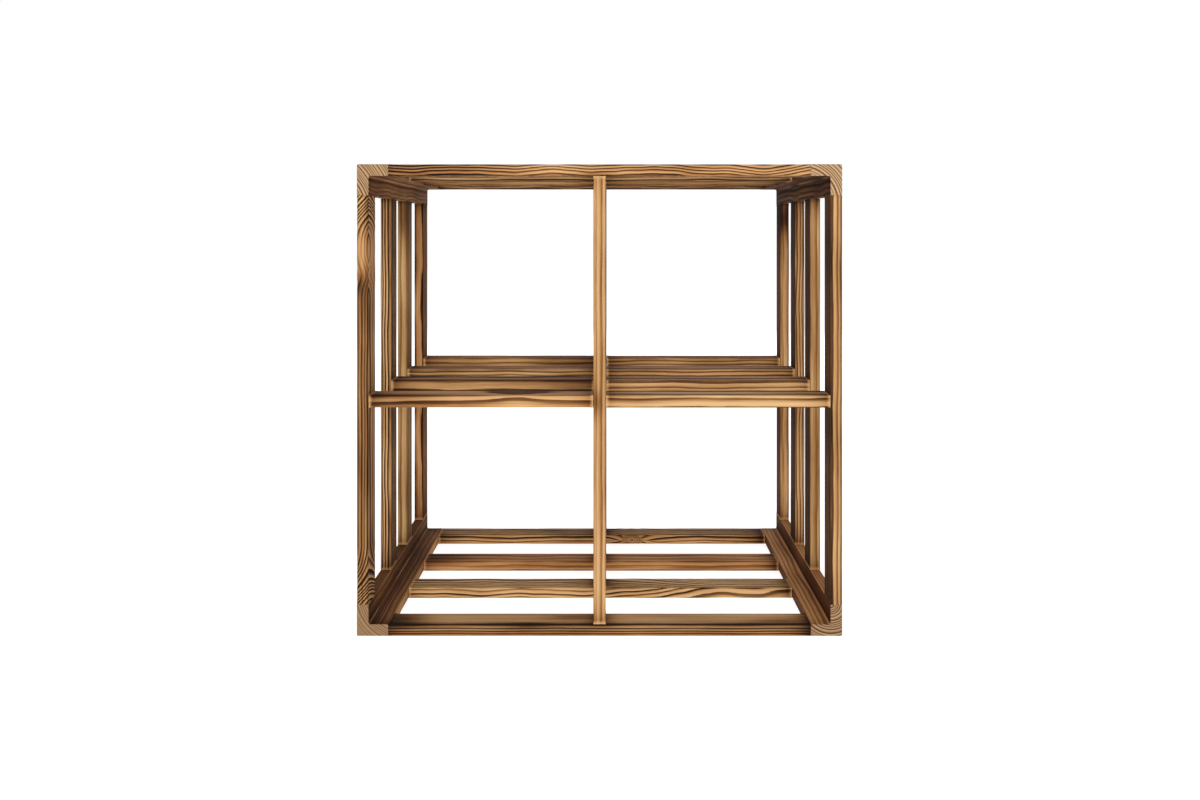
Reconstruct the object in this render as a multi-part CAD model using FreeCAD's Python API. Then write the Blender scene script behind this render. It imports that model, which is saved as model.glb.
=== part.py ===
import FreeCAD, Part
import os

# Open wine rack in burnt and brushed pine, two bays wide and two bays high.
# Four L-section corner rails run from the front to the back. Four rings of slats, one
# behind the other, close the top, the base and both sides between the rails. In each ring
# an upright divider slat and two shelf halves make the cross that carries the bottles.
# Every joint is a butt joint on two glued dowels.
# Axes: +X right, +Y back, +Z up. Origin: middle of the footprint, on the floor.
# All sizes are in millimetres.

# Outside of the rack
WIDTH = 500.0
DEPTH = 330.0
HEIGHT = 486.0

# Corner rails
RAIL_LEG = 32.0  # outside width of each leg of the L
BOARD = 12.0  # thickness of the rail legs and of the slats flush with them
RAIL_CORNER_RADIUS = 1.5  # outside corner of the L
RAIL_HOLLOW_RADIUS = 2.0  # inside corner of the L

# Slats
SLAT_WIDTH = 30.0  # from front to back, the same in all four rings
INNER_SETBACK = 105.0  # from the front or back of the rack to the nearer inner ring
DIVIDER_THICKNESS = 13.0
SHELF_THICKNESS = 13.0
SHELF_DROP = 1.5  # middle of the shelf below the middle of the rack
ARRIS_RADIUS = 0.5  # eased long edges
END_CHAMFER = 0.3  # sawn ends

# Dowels
DOWEL_DIAMETER = 6.0
DOWEL_LENGTH = 30.0
CROSS_DOWEL_LENGTH = 50.0  # through a divider, into both shelf halves
DOWEL_SPACING = 16.0  # between the two dowels of a joint
DOWEL_CHAMFER = 0.6
DOWEL_CLEARANCE = 0.05  # glue line between a dowel and the wall of its hole
HOLE_END_GAP = 1.0  # room for glue past each end of a dowel
HOLE_FLOOR = 3.0  # wood left below a hole in the face of a slat

FLAT = 0.001  # shorter than this counts as no length

# What follows from them
HALF_WIDTH = WIDTH / 2
INSIDE_X = HALF_WIDTH - BOARD
FRONT = -DEPTH / 2
BACK = DEPTH / 2
CEILING = HEIGHT - BOARD
RING_FRONTS = (
    FRONT,
    FRONT + INNER_SETBACK,
    BACK - INNER_SETBACK - SLAT_WIDTH,
    BACK - SLAT_WIDTH,
)
SHELF_MIDDLE = HEIGHT / 2 - SHELF_DROP
SHELF_BOTTOM = SHELF_MIDDLE - SHELF_THICKNESS / 2
SHELF_TOP = SHELF_MIDDLE + SHELF_THICKNESS / 2
FACE_BITE = BOARD - HOLE_FLOOR - HOLE_END_GAP  # depth of a dowel in the face of a slat

X_WAY = FreeCAD.Vector(1, 0, 0)
Y_WAY = FreeCAD.Vector(0, 1, 0)
Z_WAY = FreeCAD.Vector(0, 0, 1)

pieces = {}
dowels = {}
holes = {}


def spans(edge):
    """How far an edge reaches along X, Y and Z."""
    box = edge.BoundBox
    return (box.XLength, box.YLength, box.ZLength)


def chamfer_ends(bar, axis, chamfer):
    """A bar along X, Y or Z, given as 0, 1 or 2, with the edges of both its ends chamfered."""
    end_edges = [edge for edge in bar.Edges if spans(edge)[axis] < FLAT]
    return bar.makeChamfer(chamfer, end_edges)


def slat(axis, low, high):
    """A planed slat along X, Y or Z with its long edges eased, from one corner to the other."""
    size = high - low
    blank = Part.makeBox(size.x, size.y, size.z, low)
    long_edges = [edge for edge in blank.Edges if spans(edge)[axis] > FLAT]
    return chamfer_ends(blank.makeFillet(ARRIS_RADIUS, long_edges), axis, END_CHAMFER)


def long_edges_at(rail, places):
    """The front-to-back edges of a rail that stand at these (x, z) places."""
    found = []
    for edge in rail.Edges:
        middle = edge.BoundBox.Center
        for x, z in places:
            if spans(edge)[1] > FLAT and abs(middle.x - x) < FLAT and abs(middle.z - z) < FLAT:
                found.append(edge)
    return found


def corner_rail(x, z, quarter_turns):
    """An L rail with its outside corner at (x, z). Unturned, its legs run to +X and +Z."""
    square = Part.makeBox(RAIL_LEG, DEPTH, RAIL_LEG)
    waste = Part.makeBox(RAIL_LEG, DEPTH, RAIL_LEG, FreeCAD.Vector(BOARD, 0, BOARD))
    rail = square.cut(waste)
    tips = ((RAIL_LEG, 0), (RAIL_LEG, BOARD), (0, RAIL_LEG), (BOARD, RAIL_LEG))
    rail = rail.makeFillet(RAIL_CORNER_RADIUS, long_edges_at(rail, ((0, 0),)))
    rail = rail.makeFillet(RAIL_HOLLOW_RADIUS, long_edges_at(rail, ((BOARD, BOARD),)))
    rail = rail.makeFillet(ARRIS_RADIUS, long_edges_at(rail, tips))
    rail = chamfer_ends(rail, 1, END_CHAMFER)
    rail.rotate(FreeCAD.Vector(0, 0, 0), Y_WAY, 90 * quarter_turns)
    rail.translate(FreeCAD.Vector(x, FRONT, z))
    return rail


def pin(diameter, start, way, length):
    """A round bar from start, along way."""
    return Part.makeCylinder(diameter / 2, length, start, way)


def join(group, names, face, way, bite, length):
    """Two dowels across the joint of the named pieces, centred on face. They reach bite past
    the face along way, and the rest of their length before it. The group is their node."""
    for side in (-1, 1):
        middle = face + Y_WAY * (side * DOWEL_SPACING / 2)
        start = middle - way * (length - bite)
        dowel = pin(DOWEL_DIAMETER, start, way, length)
        round_edges = [edge for edge in dowel.Edges if edge.Closed]
        dowels.setdefault(group, []).append(dowel.makeChamfer(DOWEL_CHAMFER, round_edges))
        hole_start = start - way * HOLE_END_GAP
        hole_length = length + 2 * HOLE_END_GAP
        hole = pin(DOWEL_DIAMETER + 2 * DOWEL_CLEARANCE, hole_start, way, hole_length)
        for name in names:
            holes.setdefault(name, []).append(hole)


# The four corner rails
pieces["corner_rail_bottom_left"] = corner_rail(-HALF_WIDTH, 0, 0)
pieces["corner_rail_top_left"] = corner_rail(-HALF_WIDTH, HEIGHT, 1)
pieces["corner_rail_top_right"] = corner_rail(HALF_WIDTH, HEIGHT, 2)
pieces["corner_rail_bottom_right"] = corner_rail(HALF_WIDTH, 0, 3)

# The four rings, each with its cross, from the front to the back
for number, front in enumerate(RING_FRONTS, start=1):
    back = front + SLAT_WIDTH
    middle = front + SLAT_WIDTH / 2

    # Top and bottom slats, end to end with the legs of the rails
    for level, low, high in (("bottom", 0, BOARD), ("top", CEILING, HEIGHT)):
        name = f"{level}_slat_{number}"
        start = FreeCAD.Vector(RAIL_LEG - HALF_WIDTH, front, low)
        end = FreeCAD.Vector(HALF_WIDTH - RAIL_LEG, back, high)
        pieces[name] = slat(0, start, end)
        for side, way in (("left", -1), ("right", 1)):
            rail = f"corner_rail_{level}_{side}"
            face = FreeCAD.Vector(way * (HALF_WIDTH - RAIL_LEG), middle, (low + high) / 2)
            group = f"{level}_slat_dowels"
            join(group, (name, rail), face, X_WAY * way, DOWEL_LENGTH / 2, DOWEL_LENGTH)

    # Side slats, end to end with the other legs
    for side, low, high in (("left", -HALF_WIDTH, -INSIDE_X), ("right", INSIDE_X, HALF_WIDTH)):
        name = f"{side}_slat_{number}"
        start = FreeCAD.Vector(low, front, RAIL_LEG)
        end = FreeCAD.Vector(high, back, HEIGHT - RAIL_LEG)
        pieces[name] = slat(2, start, end)
        for level, way, z in (("bottom", -1, RAIL_LEG), ("top", 1, HEIGHT - RAIL_LEG)):
            rail = f"corner_rail_{level}_{side}"
            face = FreeCAD.Vector((low + high) / 2, middle, z)
            group = f"{side}_slat_dowels"
            join(group, (name, rail), face, Z_WAY * way, DOWEL_LENGTH / 2, DOWEL_LENGTH)

    # Divider slat, from the bottom slat to the top slat
    divider = f"divider_slat_{number}"
    start = FreeCAD.Vector(-DIVIDER_THICKNESS / 2, front, BOARD)
    end = FreeCAD.Vector(DIVIDER_THICKNESS / 2, back, CEILING)
    pieces[divider] = slat(2, start, end)
    for level, way, z in (("bottom", -1, BOARD), ("top", 1, CEILING)):
        face = FreeCAD.Vector(0, middle, z)
        names = (divider, f"{level}_slat_{number}")
        join("divider_dowels", names, face, Z_WAY * way, FACE_BITE, DOWEL_LENGTH)

    # Shelf halves, from the side slats to the divider
    for side, way in (("left", -1), ("right", 1)):
        name = f"shelf_{side}_{number}"
        near = way * DIVIDER_THICKNESS / 2
        far = way * INSIDE_X
        start = FreeCAD.Vector(min(near, far), front, SHELF_BOTTOM)
        end = FreeCAD.Vector(max(near, far), back, SHELF_TOP)
        pieces[name] = slat(0, start, end)
        face = FreeCAD.Vector(far, middle, SHELF_MIDDLE)
        names = (name, f"{side}_slat_{number}")
        join("shelf_end_dowels", names, face, X_WAY * way, FACE_BITE, DOWEL_LENGTH)

    # Long dowels that carry both halves through the divider
    face = FreeCAD.Vector(0, middle, SHELF_MIDDLE)
    names = (f"shelf_left_{number}", divider, f"shelf_right_{number}")
    length = CROSS_DOWEL_LENGTH
    join("shelf_cross_dowels", names, face, X_WAY, length / 2, length)

# Bore the holes and write one file per node
os.makedirs("parts", exist_ok=True)
for name, piece in pieces.items():
    bored = piece.cut(Part.makeCompound(holes[name]))
    bored.Solids[0].exportStep(f"parts/{name}.step")
for name, group in dowels.items():
    Part.makeCompound(group).exportStep(f"parts/{name}.step")
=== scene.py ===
import bmesh
import bpy
import math
import numpy as np
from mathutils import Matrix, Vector


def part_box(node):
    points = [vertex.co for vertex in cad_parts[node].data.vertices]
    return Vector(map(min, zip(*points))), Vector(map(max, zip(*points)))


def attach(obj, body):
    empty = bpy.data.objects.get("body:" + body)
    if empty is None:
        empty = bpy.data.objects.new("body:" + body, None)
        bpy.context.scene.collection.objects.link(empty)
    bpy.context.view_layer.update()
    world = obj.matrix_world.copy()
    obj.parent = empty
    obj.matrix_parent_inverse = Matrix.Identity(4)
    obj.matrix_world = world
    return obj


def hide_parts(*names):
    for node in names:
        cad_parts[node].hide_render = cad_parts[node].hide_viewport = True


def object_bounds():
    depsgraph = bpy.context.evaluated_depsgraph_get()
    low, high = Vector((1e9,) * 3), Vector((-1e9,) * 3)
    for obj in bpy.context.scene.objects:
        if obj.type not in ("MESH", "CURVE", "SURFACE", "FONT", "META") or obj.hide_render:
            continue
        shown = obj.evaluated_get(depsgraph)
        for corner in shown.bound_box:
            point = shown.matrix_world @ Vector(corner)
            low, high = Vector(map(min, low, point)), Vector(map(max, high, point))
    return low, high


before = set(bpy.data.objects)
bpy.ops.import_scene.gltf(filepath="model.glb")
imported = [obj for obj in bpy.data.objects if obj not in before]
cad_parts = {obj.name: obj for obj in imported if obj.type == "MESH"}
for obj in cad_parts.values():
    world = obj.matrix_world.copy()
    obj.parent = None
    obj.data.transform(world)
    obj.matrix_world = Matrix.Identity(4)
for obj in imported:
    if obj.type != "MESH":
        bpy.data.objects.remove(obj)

cad_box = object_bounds()


# ---------------------------------------------------------------------------------------
# Camera
# It stands straight in front of the rack, level, a little above the shelf. The lens is
# shifted down instead of tilted, so that the uprights stay parallel.

EYE_ASIDE = 0.0100  # right of the middle of the rack
EYE_AWAY = 1.0153  # in front of its front
EYE_HEIGHT = 0.4159

camera_data = bpy.data.cameras.new("camera")
camera_data.sensor_width = 36
camera_data.lens = 29.57
camera_data.shift_x = -0.0077
camera_data.shift_y = -0.1398
camera = bpy.data.objects.new("camera", camera_data)
camera.location = (EYE_ASIDE, cad_box[0].y - EYE_AWAY, EYE_HEIGHT)
camera.rotation_euler = (math.radians(90), 0, 0)
bpy.context.scene.collection.objects.link(camera)
bpy.context.scene.camera = camera


# ---------------------------------------------------------------------------------------
# Studio
# A white light tent: a pale floor that glows a little, a white surround, one large soft
# light in front and a weaker one behind. Colours come out as they are, with no film look.

bpy.context.scene.view_settings.view_transform = "Standard"

FLOOR_SIZE = 12.0
FLOOR_GLOW = 0.72
SURROUND_LIGHT = 0.36

floor_shape = bmesh.new()
bmesh.ops.create_grid(floor_shape, x_segments=1, y_segments=1, size=FLOOR_SIZE / 2)
floor_mesh = bpy.data.meshes.new("floor")
floor_shape.to_mesh(floor_mesh)
floor_shape.free()
floor = bpy.data.objects.new("floor", floor_mesh)
bpy.context.scene.collection.objects.link(floor)

floor_paint = bpy.data.materials.new("floor_paint")
floor_paint.use_nodes = True
floor_shader = floor_paint.node_tree.nodes["Principled BSDF"]
floor_shader.inputs["Base Color"].default_value = (0.86, 0.86, 0.86, 1)
floor_shader.inputs["Roughness"].default_value = 0.9
floor_shader.inputs["Emission Color"].default_value = (1, 1, 1, 1)
floor_shader.inputs["Emission Strength"].default_value = FLOOR_GLOW
floor_mesh.materials.append(floor_paint)

surround = bpy.data.worlds.new("surround")
surround.use_nodes = True
bpy.context.scene.world = surround
sky = surround.node_tree
sky_light = sky.nodes["Background"]
sky_light.inputs["Color"].default_value = (1, 1, 1, 1)
sky_light.inputs["Strength"].default_value = SURROUND_LIGHT
sky_seen = sky.nodes.new("ShaderNodeBackground")
sky_seen.inputs["Color"].default_value = (1, 1, 1, 1)
sky_pick = sky.nodes.new("ShaderNodeMixShader")
sky_path = sky.nodes.new("ShaderNodeLightPath")
sky.links.new(sky_path.outputs["Is Camera Ray"], sky_pick.inputs[0])
sky.links.new(sky_light.outputs[0], sky_pick.inputs[1])
sky.links.new(sky_seen.outputs[0], sky_pick.inputs[2])
sky.links.new(sky_pick.outputs[0], sky.nodes["World Output"].inputs["Surface"])


def soft_light(name, place, width, power):
    """A square studio light aimed at the middle of the rack."""
    lamp = bpy.data.lights.new(name, "AREA")
    lamp.shape = "SQUARE"
    lamp.size = width
    lamp.energy = power
    light = bpy.data.objects.new(name, lamp)
    light.location = place
    middle = (cad_box[0] + cad_box[1]) / 2
    light.rotation_euler = (middle - Vector(place)).to_track_quat("-Z", "Y").to_euler()
    light.visible_camera = False
    bpy.context.scene.collection.objects.link(light)


soft_light("front_light", place=(0.0, -2.4, 0.95), width=1.5, power=34)
soft_light("back_light", place=(0.3, 2.6, 1.3), width=1.8, power=20)


# ---------------------------------------------------------------------------------------
# Corner rails
# Four L rails, each milled from one piece of pine, torched dark and brushed. Their sawn
# ends show at the front and the back, clean of soot. The slats are dowelled to their legs.

MM = 0.001
BOARD = 12 * MM
ARRIS = 0.5 * MM
RAIL_CORNER = 1.5 * MM
RAIL_HOLLOW = 2.0 * MM
END_CHAMFER = 0.3 * MM
GRID_ACROSS = 0.85 * MM
GRID_ALONG = 4.0 * MM
SAME_PLACE = 0.01 * MM  # anything nearer than this is in the same place
BRUSHED_BODY = 0.15 * MM  # how far brushing takes the whole body below its sawn ends
BRUSHED_RINGS = 0.20 * MM  # how much deeper it takes the soft early wood

# The two axes of the section that go with each way of the grain
SECTION = {0: (1, 2), 1: (0, 2), 2: (0, 1)}


def bevelled(shape, edges, radius, segments):
    """Rounds these edges."""
    bmesh.ops.bevel(
        shape,
        geom=edges,
        offset=radius,
        offset_type="OFFSET",
        affect="EDGES",
        segments=segments,
        profile=0.5,
        material=-1,
        clamp_overlap=True,
    )


def runs_along(edge, axis):
    """Whether an edge runs along X, Y or Z, given as 0, 1 or 2."""
    way = edge.verts[1].co - edge.verts[0].co
    return abs(way[axis]) > 0.999 * way.length


def square_bar(low, high):
    """A plain bar from one corner to the other."""
    shape = bmesh.new()
    bmesh.ops.create_cube(shape, size=1)
    size = high - low
    bmesh.ops.scale(shape, vec=size, verts=shape.verts)
    bmesh.ops.translate(shape, vec=(low + high) / 2, verts=shape.verts)
    return shape


def angle_bar(low, high, side, level):
    """An L bar along Y: a square core at its outside corner, with a leg pushed out of two of
    its faces. side and level are -1 or 1, and point from the middle to the outside corner."""
    core_low = low.copy()
    core_high = high.copy()
    for axis, way in ((0, side), (2, level)):
        if way < 0:
            core_high[axis] = low[axis] + BOARD
        else:
            core_low[axis] = high[axis] - BOARD
    shape = square_bar(core_low, core_high)
    for axis, way in ((0, side), (2, level)):
        inner = core_high[axis] if way < 0 else core_low[axis]
        core_area = BOARD * (high.y - low.y)
        core_face = [
            face
            for face in shape.faces
            if abs(face.normal[axis] + way) < 0.01
            and abs(face.calc_center_median()[axis] - inner) < SAME_PLACE
            and face.calc_area() < 1.1 * core_area
        ]
        leg = bmesh.ops.extrude_discrete_faces(shape, faces=core_face)["faces"][0]
        push = Vector((0, 0, 0))
        push[axis] = -way * (high[axis] - low[axis] - BOARD)
        bmesh.ops.translate(shape, vec=push, verts=leg.verts)
        shape.normal_update()
    return shape


def eased(shape, grain, radius_of):
    """Rounds the long corners of a bar by what radius_of says for each, and its end rims."""
    shape.normal_update()
    by_radius = {}
    for edge in shape.edges:
        if runs_along(edge, grain) and len(edge.link_faces) == 2:
            if edge.link_faces[0].normal.dot(edge.link_faces[1].normal) < 0.5:
                by_radius.setdefault(radius_of(edge), []).append(edge)
    rounds = [(radius, [(e.verts[0].co.copy(), e.verts[1].co.copy()) for e in edges])
              for radius, edges in by_radius.items()]
    for radius, places in rounds:
        chosen = []
        for edge in shape.edges:
            middle = (edge.verts[0].co + edge.verts[1].co) / 2
            for start, end in places:
                near = (middle - (start + end) / 2).length < SAME_PLACE
                if near and runs_along(edge, grain):
                    chosen.append(edge)
        bevelled(shape, chosen, radius, 3)
    shape.normal_update()
    rims = []
    for edge in shape.edges:
        ends = [abs(f.normal[grain]) > 0.9 for f in edge.link_faces]
        if len(ends) == 2 and ends[0] != ends[1]:
            rims.append(edge)
    bevelled(shape, rims, END_CHAMFER, 1)


def gridded(shape, grain, low, high):
    """Lays a fine even grid over a bar, so that its surface can be brushed."""
    for axis in SECTION[grain]:
        count = max(2, round((high[axis] - low[axis]) / GRID_ACROSS))
        for step in range(1, count):
            place = Vector((0, 0, 0))
            place[axis] = low[axis] + (high[axis] - low[axis]) * step / count
            way = Vector((0, 0, 0))
            way[axis] = 1
            every = shape.verts[:] + shape.edges[:] + shape.faces[:]
            bmesh.ops.bisect_plane(shape, geom=every, dist=2e-5, plane_co=place, plane_no=way)
    length = high[grain] - low[grain]
    long_edges = [e for e in shape.edges if e.calc_length() > length * 0.9]
    cuts = round(length / GRID_ALONG) - 1
    bmesh.ops.subdivide_edges(shape, edges=long_edges, cuts=cuts, use_grid_fill=True)


def smooth_step(low, high, value):
    """0 below low, 1 above high, and a smooth rise between them."""
    t = np.clip((value - low) / (high - low), 0, 1)
    return t * t * (3 - 2 * t)


# What a piece's stock says of its wood. Places are millimetres along the grain from the left,
# front or lower end; p and q are millimetres from the middle, across the piece and through it.
#   seed             the piece's own random draws
#   ring             width of a growth ring
#   pith_p, pith_q   where the pith runs, as (place, p or q) stations
#   wave, wave_length    how far the grain wanders, and over what length
#   sweep            how far the grain has swept aside, as (place, amount) stations
#   humps            (place, reach, height) of a bulge in the grain
#   shift            moves the rings by a part of one
#   knots            (place, q, size)
#   burn_and_shade, uneven  how dark the flame left it, and how unevenly; painted face shade is
#   added to it
#   sides            (way, amount): a face that was burnt more, or less
#   sides  (way, amount): a face made darker, paler for a negative amount: some real burn, with
#       painted shade on faces turned from the light and painted light on faces turned to it
#   hollow           p and q of the inside corner of a rail
#   ends, clean      darker wood near both ends, and the length of clean wood at them
#   bold, strong     contrast of the lines, and (place, reach, amount) where it differs
#   warm             hue, from olive at 0 to red at 1
#   end_tone, end_bold   how dark the sawn ends are, and the contrast of their lines


def drift(draw, place, size, longest):
    """A smooth random line of about this size: sines that get shorter, and much flatter."""
    total = np.zeros_like(place)
    for octave in range(3):
        length = longest / 1.9**octave * draw.uniform(0.8, 1.2)
        height = size * 0.38**octave
        total += height * np.sin(2 * math.pi * (place / length + draw.uniform(0, 1)))
    return total


def between(stations, place):
    """A line through these (place, value) stations, rounded where it turns."""
    stops, values = zip(*stations)
    shifts = np.linspace(-12, 12, 9)
    return sum(np.interp(place + shift, stops, values) for shift in shifts) / len(shifts)


WAVE_LENGTH = 150  # millimetres from one wave of the grain to the next
FINE_WAVE_LENGTH = 95
FINE_WAVE_SHARE = 0.15
GOOD_YEARS = 5.3  # growth rings from one run of wide years to the next
YEAR_SPREAD = 0.32  # of a ring
KNOT_LENGTH = 1.5  # how much longer a knot is along the grain than across it
KNOT_RING = 1.7  # width of its own rings
KNOT_BULGE = 1.5  # growth rings that pass round it


def growth(draw, stock, along, p, q):
    """The number of growth rings between the pith and each point of the wood."""
    pith_p = between(stock["pith_p"], along)
    pith_q = between(stock["pith_q"], along)
    wave = stock["wave"]
    distance = np.hypot(p - pith_p, q - pith_q)
    distance = distance + drift(draw, along, wave, stock.get("wave_length", WAVE_LENGTH))
    # This wander differs a little from face to face
    skewed = along + 5 * p + 3 * q
    distance = distance + drift(draw, skewed, wave * FINE_WAVE_SHARE, FINE_WAVE_LENGTH)
    distance = distance + between(stock.get("sweep", [(0, 0)]), along)
    for place, reach, height in stock.get("humps", ()):
        distance = distance + height * np.exp(-(((along - place) / reach) ** 2))
    rings = distance / stock["ring"]
    years = rings * 2 * math.pi / GOOD_YEARS + draw.uniform(0, 6)
    rings = rings + YEAR_SPREAD * np.sin(years)
    rings = rings + stock.get("shift", 0.0)
    for place, level, size in stock.get("knots", ()):
        off = np.hypot((along - place) / KNOT_LENGTH, q - level)
        above = np.sign(q - level + 0.01)
        rings = rings + KNOT_BULGE * above * np.exp(-((off / (size * 2.0)) ** 2))
        outside = smooth_step(size * 0.75, size * 1.1, off)
        rings = rings * outside + (off / KNOT_RING) * (1 - outside)
    return rings


TORCH_PASS = 210  # millimetres from one dark stretch left by the torch to the next
EDGE_SOOT = 0.42  # how much darker the long edges are
EDGE_REACH = 0.9
EDGE_FADE = 9  # no edge soot further in than this
HOLLOW_CLEAN = 0.42  # the brush kept a pale line in the inside corner of a rail
HOLLOW_DARKENING = 0.16  # and the wood is darker beside it
END_REACH = 10.0  # how far the darkening reaches from a joint


def burn_and_shade_of(draw, stock, along, length, p, q, half_p, half_q, normals):
    """How dark each point is, from 0 to 1: the flame's burn, darker wood near the joints, and
    painted shade on faces turned from the light with painted light on those turned to it.
    """
    burn_and_shade = np.full_like(along, stock["burn_and_shade"])
    burn_and_shade = burn_and_shade + drift(draw, along + 2 * p, stock.get("uneven", 0.05), TORCH_PASS)
    corner = np.minimum(half_p - np.abs(p), EDGE_FADE)
    corner = corner + np.minimum(half_q - np.abs(q), EDGE_FADE)
    edge = np.exp(-np.clip(corner, 0, EDGE_FADE) / EDGE_REACH)
    # Each of the four long edges has its own patches
    patchy = 0.65 + drift(draw, along + 9 * np.sign(p) + 31 * np.sign(q), 0.25, 70)
    burn_and_shade = burn_and_shade + EDGE_SOOT * edge * patchy
    # Painted shade on faces turned away from the light, and painted light for negative amounts, on
    # top of some extra burn on those faces
    for way, amount in stock.get("sides", ()):
        burn_and_shade = burn_and_shade + amount * np.clip(normals @ np.array(way, float), 0, 1) ** 2
    for place, reach, at_p, spread_p, at_q, spread_q, amount in stock.get("scorches", ()):
        off = ((along - place) / reach) ** 2
        off = off + ((p - at_p) / spread_p) ** 2 + ((q - at_q) / spread_q) ** 2
        burn_and_shade = burn_and_shade + amount * np.exp(-off)
    if "hollow" in stock:
        off = np.hypot(p - stock["hollow"][0], q - stock["hollow"][1])
        burn_and_shade = burn_and_shade - HOLLOW_CLEAN * np.exp(-((off / 1.5) ** 2))
        burn_and_shade = burn_and_shade + HOLLOW_DARKENING * np.exp(-((off / 7) ** 2))
    # Darker near both ends
    near, far = stock.get("ends", (0.3, 0.3))
    burn_and_shade = burn_and_shade + near * np.exp(-along / END_REACH)
    burn_and_shade = burn_and_shade + far * np.exp(-(length - along) / END_REACH)
    return burn_and_shade


def piece_of_pine(node, shape, grain, low, high, stock, skins):
    """Finishes a bar as a brushed and burnt piece, and puts it in place of its CAD node."""
    gridded(shape, grain, low, high)
    shape.normal_update()
    across, deep = SECTION[grain]
    places = np.array([v.co for v in shape.verts]) / MM
    normals = np.array([v.normal for v in shape.verts])
    middle = np.array((low + high) / 2) / MM
    size = np.array(high - low) / MM
    along = places[:, grain] - low[grain] / MM
    length = size[grain]
    p = places[:, across] - middle[across]
    q = places[:, deep] - middle[deep]
    draw = np.random.RandomState(stock["seed"])
    rings = growth(draw, stock, along, p, q)
    half_p = size[across] / 2
    half_q = size[deep] / 2
    burn_and_shade = burn_and_shade_of(draw, stock, along, length, p, q, half_p, half_q, normals)

    # The last few millimetres before a joint stay full size, and free of soot
    near, far = stock.get("clean", (2.6, 2.6))
    clean = np.zeros_like(along)
    if near:
        clean = np.maximum(clean, 1 - smooth_step(near - 0.6, near + 0.6, along))
    if far:
        clean = np.maximum(clean, 1 - smooth_step(far - 0.6, far + 0.6, length - along))
    from_end = np.minimum(along, length - along)
    body = np.where(clean > 0, 1 - clean, smooth_step(0.3, 2.0, from_end))
    phase = rings % 1.0
    late = smooth_step(0.35, 0.8, phase) * (1 - smooth_step(0.93, 1.0, phase))
    side_face = 1 - np.clip(np.abs(normals[:, grain]) * 2, 0, 1)
    depth = body * side_face * (BRUSHED_BODY + BRUSHED_RINGS * (1 - late))
    moved = places * MM - normals * depth[:, None]
    for vertex, place in zip(shape.verts, moved):
        vertex.co = place
    for face in shape.faces:
        face.material_index = 1 if abs(face.normal[grain]) > 0.6 else 0
        face.smooth = True

    mesh = bpy.data.meshes.new("pine_" + node)
    shape.to_mesh(mesh)
    shape.free()
    for skin in skins:
        mesh.materials.append(skin)
    looks = {"rings": rings, "burn_and_shade": burn_and_shade, "clean": clean}
    for name, usual in (("bold", 1.0), ("warm", 0.5), ("end_tone", 0.0), ("end_bold", 1.0)):
        looks[name] = np.full_like(along, stock.get(name, usual))
    for place, reach, amount in stock.get("strong", ()):
        looks["bold"] += amount * np.exp(-(((along - place) / reach) ** 2))
    for name, values in looks.items():
        mesh.attributes.new(name, "FLOAT", "POINT").data.foreach_set("value", values)
    fibres = np.stack((along + 500 * stock["seed"], p, q), axis=1)
    fibre_places = mesh.attributes.new("fibres", "FLOAT_VECTOR", "POINT")
    fibre_places.data.foreach_set("vector", fibres.ravel())
    piece = bpy.data.objects.new("pine_" + node, mesh)
    bpy.context.scene.collection.objects.link(piece)
    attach(piece, "root")
    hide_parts(node)
    return piece


def placed(tree, kind, *wires, **settings):
    """A node with these settings. wires are (socket, what feeds it): a value or an output."""
    made = tree.nodes.new(kind)
    for key, value in settings.items():
        setattr(made, key, value)
    for socket, source in wires:
        if isinstance(source, bpy.types.NodeSocket):
            tree.links.new(source, made.inputs[socket])
        else:
            made.inputs[socket].default_value = source
    return made


def maths(tree, operation, first, second=0.0, third=0.0):
    """The output of a maths node that works on up to three values."""
    wires = ((0, first), (1, second), (2, third))
    return placed(tree, "ShaderNodeMath", *wires, operation=operation).outputs[0]


def ramp_of(tree, value, stops):
    """The colour output of a ramp with these (place, colour) stops."""
    made = placed(tree, "ShaderNodeValToRGB", (0, value))
    elements = made.color_ramp.elements
    while len(elements) < len(stops):
        elements.new(0.5)
    for element, (place, colour) in zip(elements, stops):
        element.position = place
        element.color = (*colour, 1)
    return made.outputs[0]


def new_group(name, inputs, outputs):
    """A node group with these named sockets."""
    tree = bpy.data.node_groups.new(name, "ShaderNodeTree")
    for socket, kind in inputs:
        tree.interface.new_socket(socket, in_out="INPUT", socket_type=kind)
    for socket, kind in outputs:
        tree.interface.new_socket(socket, in_out="OUTPUT", socket_type=kind)
    return tree, tree.nodes.new("NodeGroupInput"), tree.nodes.new("NodeGroupOutput")


# How much each size of fibre counts, and what they add up to on average
LONG_FIBRES = 0.50
COARSE_FIBRES = 0.40
FINE_FIBRES = 0.35
FIBRE_MEAN = (LONG_FIBRES + COARSE_FIBRES + FINE_FIBRES) / 2


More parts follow.
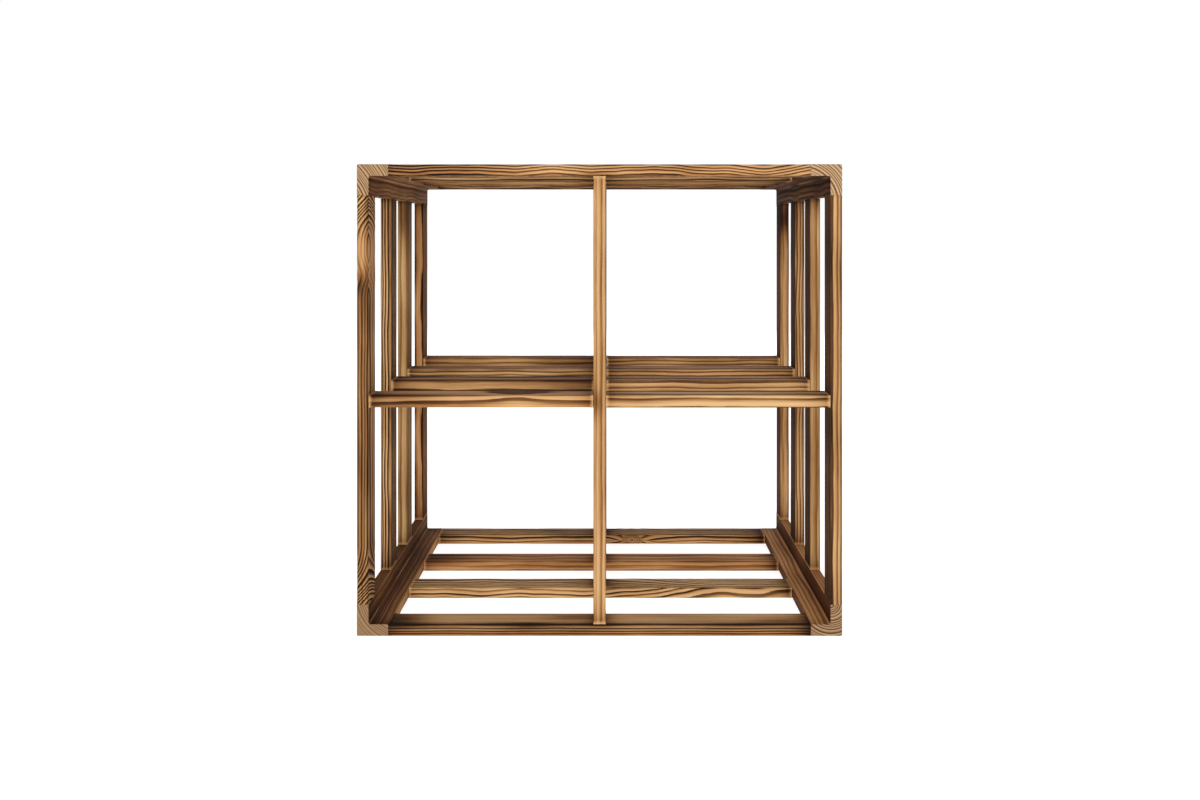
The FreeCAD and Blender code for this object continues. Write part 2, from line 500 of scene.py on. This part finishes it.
def growth_rings():
    """Lines of dark late wood, sharp on their outer side, and the fibres along the grain."""
    floats = [("Late Wood", "NodeSocketFloat"), ("Fibre", "NodeSocketFloat")]
    tree, given, out = new_group("growth_rings", [("Jitter", "NodeSocketFloat")], floats)
    rings = placed(tree, "ShaderNodeAttribute", attribute_name="rings").outputs["Fac"]
    fibres = placed(tree, "ShaderNodeAttribute", attribute_name="fibres").outputs["Vector"]

    def streaks(stretch, detail):
        wires = ((0, fibres), (1, stretch))
        scaled = placed(tree, "ShaderNodeVectorMath", *wires, operation="MULTIPLY").outputs[0]
        wires = (("Vector", scaled), ("Scale", 1.0), ("Detail", detail))
        return placed(tree, "ShaderNodeTexNoise", *wires).outputs["Fac"]

    ragged = maths(tree, "SUBTRACT", streaks((0.045, 0.8, 0.8), 3.0), 0.5)
    shifted = maths(tree, "MULTIPLY_ADD", ragged, given.outputs["Jitter"], rings)
    phase = maths(tree, "FRACT", shifted)
    lines = ramp_of(
        tree,
        phase,
        (
            (0.00, (0.0,) * 3),
            (0.30, (0.06,) * 3),
            (0.56, (0.40,) * 3),
            (0.74, (1.0,) * 3),
            (0.93, (1.0,) * 3),
            (1.00, (0.0,) * 3),
        ),
    )
    year = placed(
        tree,
        "ShaderNodeTexWhiteNoise",
        ("W", maths(tree, "FLOOR", shifted)),
        noise_dimensions="1D",
    ).outputs["Value"]
    strength = maths(tree, "MULTIPLY_ADD", year, 0.5, 0.5)
    tree.links.new(maths(tree, "MULTIPLY", lines, strength), out.inputs["Late Wood"])
    mixed = maths(tree, "MULTIPLY", streaks((0.006, 0.30, 0.30), 2.0), LONG_FIBRES)
    coarse = streaks((0.018, 0.95, 0.95), 2.0)
    mixed = maths(tree, "MULTIPLY_ADD", coarse, COARSE_FIBRES, mixed)
    fine = streaks((0.06, 3.4, 3.4), 2.0)
    mixed = maths(tree, "MULTIPLY_ADD", fine, FINE_FIBRES, mixed)
    tree.links.new(mixed, out.inputs["Fibre"])
    return tree


def burning():
    """Takes pine from pale to charred: the late wood burns first, and soot and painted face shade
    add to it.
    """
    inputs = [("Late Wood", "NodeSocketFloat"), ("Fibre", "NodeSocketFloat")]
    inputs += [("Contrast", "NodeSocketFloat"), ("Streaks", "NodeSocketFloat")]
    outputs = [("Color", "NodeSocketColor"), ("Roughness", "NodeSocketFloat")]
    outputs += [("Height", "NodeSocketFloat")]
    tree, given, out = new_group("burning", inputs, outputs)
    late = given.outputs["Late Wood"]
    fibre = given.outputs["Fibre"]
    burn_and_shade = placed(tree, "ShaderNodeAttribute", attribute_name="burn_and_shade").outputs["Fac"]
    clean = placed(tree, "ShaderNodeAttribute", attribute_name="clean").outputs["Fac"]
    bold = placed(tree, "ShaderNodeAttribute", attribute_name="bold").outputs["Fac"]
    warm = placed(tree, "ShaderNodeAttribute", attribute_name="warm").outputs["Fac"]
    contrast = maths(tree, "MULTIPLY", given.outputs["Contrast"], bold)
    marked = maths(tree, "MULTIPLY", late, contrast)
    dark = maths(tree, "ADD", marked, burn_and_shade)
    soot_and_shade_left = maths(tree, "MULTIPLY_ADD", clean, -0.9, 1.0)
    dark = maths(tree, "MULTIPLY", dark, soot_and_shade_left)
    uneven = maths(tree, "SUBTRACT", fibre, FIBRE_MEAN)
    streaked = maths(tree, "MULTIPLY_ADD", uneven, given.outputs["Streaks"], dark)
    hue = ramp_of(
        tree,
        maths(tree, "MULTIPLY_ADD", uneven, 1.6, warm),
        ((0.0, (0.92, 1.00, 0.94)), (0.5, (1.00, 0.98, 0.96)), (1.0, (1.00, 0.84, 0.72))),
    )
    colour = ramp_of(
        tree,
        streaked,
        (
            (0.00, (0.650, 0.405, 0.198)),
            (0.20, (0.475, 0.266, 0.112)),
            (0.40, (0.270, 0.130, 0.046)),
            (0.60, (0.120, 0.050, 0.018)),
            (0.80, (0.042, 0.017, 0.007)),
            (1.00, (0.014, 0.007, 0.004)),
        ),
    )
    tinted = placed(
        tree,
        "ShaderNodeMix",
        (0, 1.0),
        (6, colour),
        (7, hue),
        data_type="RGBA",
        blend_type="MULTIPLY",
    ).outputs[2]
    tree.links.new(tinted, out.inputs["Color"])
    rough = maths(tree, "MULTIPLY_ADD", streaked, 0.18, 0.68)
    tree.links.new(rough, out.inputs["Roughness"])
    ridges = maths(tree, "MULTIPLY", late, 0.6)
    raised = maths(tree, "MULTIPLY_ADD", fibre, 0.5, ridges)
    tree.links.new(raised, out.inputs["Height"])
    return tree


RING_LINES = growth_rings()
BURNING = burning()


def burnt_pine(name, contrast, streaks):
    """Pine that was torched and then brushed with a wire brush."""
    skin = bpy.data.materials.new(name)
    skin.use_nodes = True
    tree = skin.node_tree
    shader = tree.nodes["Principled BSDF"]
    lines = placed(tree, "ShaderNodeGroup", node_tree=RING_LINES)
    lines.inputs["Jitter"].default_value = 0.16
    burnt = placed(tree, "ShaderNodeGroup", node_tree=BURNING)
    burnt.inputs["Contrast"].default_value = contrast
    burnt.inputs["Streaks"].default_value = streaks
    tree.links.new(lines.outputs["Late Wood"], burnt.inputs["Late Wood"])
    tree.links.new(lines.outputs["Fibre"], burnt.inputs["Fibre"])
    bump = placed(tree, "ShaderNodeBump", ("Strength", 0.55), ("Distance", 0.0004))
    tree.links.new(burnt.outputs["Height"], bump.inputs["Height"])
    tree.links.new(bump.outputs[0], shader.inputs["Normal"])
    tree.links.new(burnt.outputs["Color"], shader.inputs["Base Color"])
    tree.links.new(burnt.outputs["Roughness"], shader.inputs["Roughness"])
    shader.inputs["Specular IOR Level"].default_value = 0.07
    return skin


def sawn_ends(name):
    """Clean sawn end grain: narrow rings, pores and the marks of the saw."""
    skin = bpy.data.materials.new(name)
    skin.use_nodes = True
    tree = skin.node_tree
    shader = tree.nodes["Principled BSDF"]
    lines = placed(tree, "ShaderNodeGroup", node_tree=RING_LINES)
    lines.inputs["Jitter"].default_value = 0.2
    tone = placed(tree, "ShaderNodeAttribute", attribute_name="end_tone").outputs["Fac"]
    fibres = placed(tree, "ShaderNodeAttribute", attribute_name="fibres").outputs["Vector"]
    pores = placed(tree, "ShaderNodeTexNoise", ("Vector", fibres), ("Scale", 2.2), ("Detail", 3.0))
    marks = maths(tree, "MULTIPLY_ADD", pores.outputs["Fac"], 0.55, -0.22)
    marks = maths(tree, "ADD", marks, tone)
    bold = placed(tree, "ShaderNodeAttribute", attribute_name="end_bold").outputs["Fac"]
    rows = maths(tree, "MULTIPLY", lines.outputs["Late Wood"], bold)
    shade = maths(tree, "ADD", rows, marks)
    colour = ramp_of(
        tree,
        shade,
        (
            (0.0, (0.540, 0.345, 0.180)),
            (0.5, (0.215, 0.122, 0.060)),
            (1.0, (0.080, 0.036, 0.018)),
        ),
    )
    wires = (("Strength", 0.35), ("Distance", 0.0003), ("Height", shade))
    bump = placed(tree, "ShaderNodeBump", *wires)
    tree.links.new(colour, shader.inputs["Base Color"])
    tree.links.new(bump.outputs[0], shader.inputs["Normal"])
    tree.links.new(maths(tree, "MULTIPLY_ADD", shade, 0.15, 0.72), shader.inputs["Roughness"])
    shader.inputs["Specular IOR Level"].default_value = 0.1
    return skin


END_GRAIN = sawn_ends("sawn_end_grain")
RAIL_PINE = burnt_pine("burnt_pine_rails", 0.32, 0.50)

RAIL_STOCK = {
    "top_left": dict(seed=11, ring=2.5, pith_p=[(0, -78)], pith_q=[(0, -45)], wave=0.4,
                     burn_and_shade=0.40, warm=0.66, bold=0.8, end_tone=0.05),
    "top_right": dict(seed=12, ring=2.7, pith_p=[(0, -26)], pith_q=[(0, -24)], wave=0.5,
                      burn_and_shade=0.56, warm=0.66, bold=1.3, end_tone=-0.06),
    "bottom_left": dict(seed=13, ring=2.8, pith_p=[(0, 32)], pith_q=[(0, 27)], wave=0.3,
                        burn_and_shade=0.48, warm=0.66, bold=0.8, end_tone=0.28, end_bold=0.38,
                        scorches=[(165, 400, 16, 2, -10, 6, -0.30)]),
    "bottom_right": dict(seed=14, ring=2.7, pith_p=[(0, 4.4)], pith_q=[(0, 16.5)], wave=0.3,
                         burn_and_shade=0.12, warm=1.00, end_tone=0.14, end_bold=1.05,
                         # Painted shade on the inner face of the upright leg
                         sides=[((-1, 0, 0), 0.42)]),
}

for level_name, level in (("top", 1), ("bottom", -1)):
    for side_name, side in (("left", -1), ("right", 1)):
        node = f"corner_rail_{level_name}_{side_name}"
        low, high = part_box(node)

        def rail_radius(edge, low=low, high=high, side=side, level=level):
            middle = (edge.verts[0].co + edge.verts[1].co) / 2
            outer_x = high.x if side > 0 else low.x
            outer_z = high.z if level > 0 else low.z
            away_x = abs(middle.x - outer_x)
            away_z = abs(middle.z - outer_z)
            if away_x < SAME_PLACE and away_z < SAME_PLACE:
                return RAIL_CORNER
            if abs(away_x - BOARD) < SAME_PLACE and abs(away_z - BOARD) < SAME_PLACE:
                return RAIL_HOLLOW
            return ARRIS

        rail = angle_bar(low, high, side, level)
        eased(rail, 1, rail_radius)
        stock = RAIL_STOCK[f"{level_name}_{side_name}"]
        hollow_away = ((high.x - low.x) / 2 - BOARD) / MM
        hollow = (side * hollow_away, level * hollow_away)
        stock.update(clean=(0, 0), ends=(0.18, 0.18), hollow=hollow)
        piece_of_pine(node, rail, 1, low, high, stock, (RAIL_PINE, END_GRAIN))


# ---------------------------------------------------------------------------------------
# Bottom slats
# Four slats of pine across the base, 12 mm thick, level with the legs of the bottom rails
# and dowelled to their edges. Each carries the foot of the divider above it.


def straight_piece(node, grain, stock, skin):
    """A straight slat of the size and place of its CAD node."""
    low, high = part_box(node)
    bar = square_bar(low, high)
    eased(bar, grain, lambda edge: ARRIS)
    piece_of_pine(node, bar, grain, low, high, stock, (skin, END_GRAIN))


SLAT_PINE = burnt_pine("burnt_pine_slats", 0.66, 0.70)

# The tops of slats 1 and 3 are painted lighter, as the light falls on them
BOTTOM_STOCK = {
    1: dict(seed=21, ring=3.1, pith_p=[(0, 3)], pith_q=[(0, -46)], wave=0.12, burn_and_shade=0.33,
            warm=0.46, bold=1.1, clean=(0, 0), sides=[((0, 0, 1), -0.24)],
            scorches=[(188, 26, 6, 9, 6, 4, 0.30), (8, 30, 0, 16, 6, 4, 0.60),
                      (145, 22, -13, 5, 6, 4, 0.35), (404, 34, -6, 8, 6, 4, 0.34),
                      (340, 70, -15, 10, 0, 9, -0.09)]),
    2: dict(seed=22, ring=3.6, pith_p=[(0, 34)], wave=0.8, wave_length=120, burn_and_shade=0.00,
            pith_q=[(0, -42), (240, -42), (330, -27), (436, -21)], bold=1.2, warm=0.40),
    3: dict(seed=23, ring=6.0, pith_p=[(0, 30)], pith_q=[(0, -60)], wave=0.5, burn_and_shade=0.25,
            bold=0.6, warm=0.85, sides=[((0, 0, 1), -0.06)],
            scorches=[(16, 42, 0, 20, 6, 4, 0.42)]),
    4: dict(seed=24, ring=3.1, pith_p=[(0, 30)], pith_q=[(0, -38)], wave=0.6, burn_and_shade=0.20,
            bold=1.2, knots=[(258, -1, 7)]),
}

for number, stock in BOTTOM_STOCK.items():
    # Darker around the foot of the divider
    foot_darkening = [(218, 15, 0, 20, 6, 3, 0.42)]
    stock["scorches"] = stock.get("scorches", []) + foot_darkening
    stock.setdefault("clean", (2.6, 1.2))
    stock.setdefault("ends", (0.2, 0.6))
    straight_piece(f"bottom_slat_{number}", 0, stock, SLAT_PINE)


# ---------------------------------------------------------------------------------------
# Top slats
# Four slats of pine across the top, the same as those of the base. The front one shows
# strong wavy lines and a dark left end.

TOP_STOCK = {
    1: dict(seed=31, ring=2.75, pith_p=[(0, 30)], wave=0.75, wave_length=105, burn_and_shade=0.10,
            pith_q=[(0, -42), (310, -42), (385, -50), (460, -36)], shift=-0.13,
            clean=(0, 0), bold=1.4, warm=0.62, ends=(0.15, 0.0), strong=[(24, 70, 0.8)],
            scorches=[(24, 80, -15, 14, 0, 20, 0.16)]),
    2: dict(seed=32, ring=3.8, pith_p=[(0, -36)], pith_q=[(0, 42)], wave=0.5, burn_and_shade=0.22,
            warm=0.35),
    3: dict(seed=33, ring=3.6, pith_p=[(0, 30)], pith_q=[(0, 44)], wave=0.5, burn_and_shade=0.27,
            warm=0.40, clean=(0, 0)),
    4: dict(seed=34, ring=4.0, pith_p=[(0, -32)], pith_q=[(0, -46)], wave=0.6, burn_and_shade=0.27,
            clean=(0, 0)),
}

for number, stock in TOP_STOCK.items():
    # Darker around the head of the divider
    head_darkening = [(218, 18, 0, 20, -6, 4, 0.32)]
    stock["scorches"] = stock.get("scorches", []) + head_darkening
    straight_piece(f"top_slat_{number}", 0, stock, SLAT_PINE)


# ---------------------------------------------------------------------------------------
# Left slats
# Four upright slats of pine between the left rails, dowelled to their legs. The grain of the
# front one sweeps aside at both ends, so its rings stand there as steep chevrons.

# The faces towards the bay carry painted shade on slats 2 to 4, and are painted lighter on slat 1
LEFT_STOCK = {
    1: dict(seed=41, ring=3.8, pith_p=[(0, 80)], pith_q=[(0, -22)], wave=0.3, burn_and_shade=0.39,
            sweep=[(-30, -61), (28, -9), (50, 0), (384, 0), (396, 7), (460, 62)],
            clean=(0, 0), ends=(0.0, 0.0), humps=[(340, 12, 5)], sides=[((1, 0, 0), -0.16)],
            strong=[(414, 22, 1.5), (16, 28, 1.3), (352, 34, -0.6)],
            scorches=[(412, 26, -6, 12, -15, 20, -0.30), (360, 28, -6, 12, -15, 20, -0.34),
                      (330, 10, -2, 4, -15, 14, 0.22), (10, 26, -6, 12, -15, 20, -0.16),
                      (60, 30, 6, 4, 4, 9, 0.25)]),
    2: dict(seed=42, ring=3.8, pith_p=[(0, 40)], pith_q=[(0, -24)], wave=0.4, burn_and_shade=0.07,
            bold=1.7, sides=[((1, 0, 0), 0.26)]),
    3: dict(seed=43, ring=5.6, pith_p=[(0, -44)], pith_q=[(0, 26)], wave=0.3, burn_and_shade=0.15,
            bold=0.5, warm=0.25, sides=[((1, 0, 0), 0.20)],
            scorches=[(400, 22, 2, 6, -15, 20, 0.26)]),
    4: dict(seed=44, ring=5.2, pith_p=[(0, 38)], pith_q=[(0, 30)], wave=0.8, burn_and_shade=0.20,
            warm=0.90, bold=1.1, sides=[((1, 0, 0), 0.20)]),
}

for number, stock in LEFT_STOCK.items():
    stock.setdefault("clean", (3.6, 0))
    straight_piece(f"left_slat_{number}", 2, stock, SLAT_PINE)


# ---------------------------------------------------------------------------------------
# Right slats
# Four upright slats of pine between the right rails. They are pale in front, and their
# faces towards the bays were burnt dark and carry painted shade that takes them nearly black.

RIGHT_STOCK = {
    1: dict(seed=51, ring=4.0, pith_p=[(0, -50)], pith_q=[(0, 30)], wave=0.25, burn_and_shade=0.18,
            warm=0.44, bold=0.8, clean=(0, 0), ends=(0.0, 0.0), sides=[((-1, 0, 0), 0.40)]),
    2: dict(seed=52, ring=5.2, pith_p=[(0, -46)], pith_q=[(0, -36)], wave=0.35, burn_and_shade=0.21,
            warm=0.40, bold=0.5, sides=[((-1, 0, 0), 0.46)]),
    3: dict(seed=53, ring=4.4, pith_p=[(0, -40)], pith_q=[(0, -32)], wave=0.7, burn_and_shade=0.16,
            warm=0.60, bold=0.8, sides=[((-1, 0, 0), 0.46)]),
    4: dict(seed=54, ring=4.8, pith_p=[(0, -42)], pith_q=[(0, 34)], wave=0.4, burn_and_shade=0.14,
            warm=0.60, bold=0.5, sides=[((-1, 0, 0), 0.46)],
            scorches=[(402, 18, 0, 20, -15, 20, 0.45)]),
}

for number, stock in RIGHT_STOCK.items():
    stock.setdefault("clean", (3.6, 0))
    straight_piece(f"right_slat_{number}", 2, stock, SLAT_PINE)


# ---------------------------------------------------------------------------------------
# Dividers
# Four upright slats in the middle, 13 mm thick, between the bottom and the top slats. They
# are paler and straighter in the grain, darker at the foot and where the shelf meets.

DIVIDER_PINE = burnt_pine("burnt_pine_dividers", 0.32, 0.60)

for number in range(1, 5):
    stock = dict(
        seed=60 + number,
        ring=4.4,
        pith_p=[(0, -55)],
        pith_q=[(0, 4)],
        wave=0.25,
        burn_and_shade=0.10,
        uneven=0.03,
        ends=(0.28, 0.10),
        scorches=[(229, 14, -3, 5, -15, 14, 0.30), (264, 34, 0, 9, -15, 14, 0.16)],
        # Painted shade on both faces towards the bays
        sides=[((1, 0, 0), 0.20), ((-1, 0, 0), 0.20)],
    )
    straight_piece(f"divider_slat_{number}", 2, stock, DIVIDER_PINE)


# ---------------------------------------------------------------------------------------
# Shelf
# Two slats in each ring, one on each side of the divider, with long dowels through it. The
# bottles lie on them. Their fronts are pale, with one or two dark lines.

SHELF_PINE = burnt_pine("burnt_pine_shelf", 0.56, 0.65)

SHELF_STOCK = {
    "left": {
        1: dict(seed=71, ring=7.0, pith_p=[(0, 8)], wave=0.2, burn_and_shade=0.06, warm=0.62,
                pith_q=[(0, -53.5), (120, -51), (231, -51.5)], humps=[(152, 24, -2.4)],
                bold=1.2, scorches=[(20, 85, -15, 14, 5, 7, 0.20)]),
        2: dict(seed=72, ring=6.4, pith_p=[(0, 26)], pith_q=[(0, -60)], wave=0.5, burn_and_shade=0.24,
                bold=0.9, scorches=[(215, 40, -15, 20, -4, 6, 0.20)]),
        3: dict(seed=73, ring=6.0, pith_p=[(0, -24)], pith_q=[(0, 56)], wave=0.5, burn_and_shade=0.15,
                warm=0.40, scorches=[(200, 24, -15, 20, -4, 6, 0.24)]),
        4: dict(seed=74, ring=5.4, pith_p=[(0, 22)], pith_q=[(0, -50)], wave=0.5, burn_and_shade=0.24,
                bold=0.7, scorches=[(215, 50, 0, 20, 0, 12, 0.25)]),
    },
    "right": {
        1: dict(seed=75, ring=6.8, pith_p=[(0, 24)], pith_q=[(0, -54)], wave=0.3, burn_and_shade=0.02,
                warm=0.40, bold=1.1),
        2: dict(seed=76, ring=6.0, pith_p=[(0, 24)], pith_q=[(0, 58)], wave=0.5, burn_and_shade=0.12),
        3: dict(seed=77, ring=5.6, pith_p=[(0, -22)], pith_q=[(0, -58)], wave=0.5, burn_and_shade=0.14),
        4: dict(seed=78, ring=5.2, pith_p=[(0, 22)], pith_q=[(0, 52)], wave=0.5, burn_and_shade=0.22),
    },
}

for side_name, stocks in SHELF_STOCK.items():
    for number, stock in stocks.items():
        # Painted shade on the top and bottom faces, which the light reaches less than the front
        stock["sides"] = [((0, 0, 1), 0.12), ((0, 0, -1), 0.10)]
        stock["clean"] = (1.4, 1.4)
        straight_piece(f"shelf_{side_name}_{number}", 0, stock, SHELF_PINE)


# ---------------------------------------------------------------------------------------
# Dowels
# Glued dowels of plain beech hold every joint. None shows once the rack is together: the
# CAD solids are right as they are, and only get the wood's short flecks and dull surface.


def beech():
    """Plain pale beech with short flecks."""
    skin = bpy.data.materials.new("beech_dowels")
    skin.use_nodes = True
    tree = skin.node_tree
    shader = tree.nodes["Principled BSDF"]
    place = tree.nodes.new("ShaderNodeTexCoord")
    flecks = placed(
        tree,
        "ShaderNodeTexNoise",
        ("Vector", place.outputs["Object"]),
        ("Scale", 900.0),
        ("Detail", 3.0),
    ).outputs["Fac"]
    stops = ((0.3, (0.42, 0.235, 0.12)), (0.7, (0.60, 0.39, 0.225)))
    colour = ramp_of(tree, flecks, stops)
    wires = (("Strength", 0.2), ("Distance", 0.0002), ("Height", flecks))
    bump = placed(tree, "ShaderNodeBump", *wires)
    tree.links.new(colour, shader.inputs["Base Color"])
    tree.links.new(bump.outputs[0], shader.inputs["Normal"])
    tree.links.new(maths(tree, "MULTIPLY_ADD", flecks, 0.2, 0.5), shader.inputs["Roughness"])
    return skin


BEECH = beech()
for name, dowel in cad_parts.items():
    if name.endswith("_dowels"):
        dowel.data.materials.clear()
        dowel.data.materials.append(BEECH)
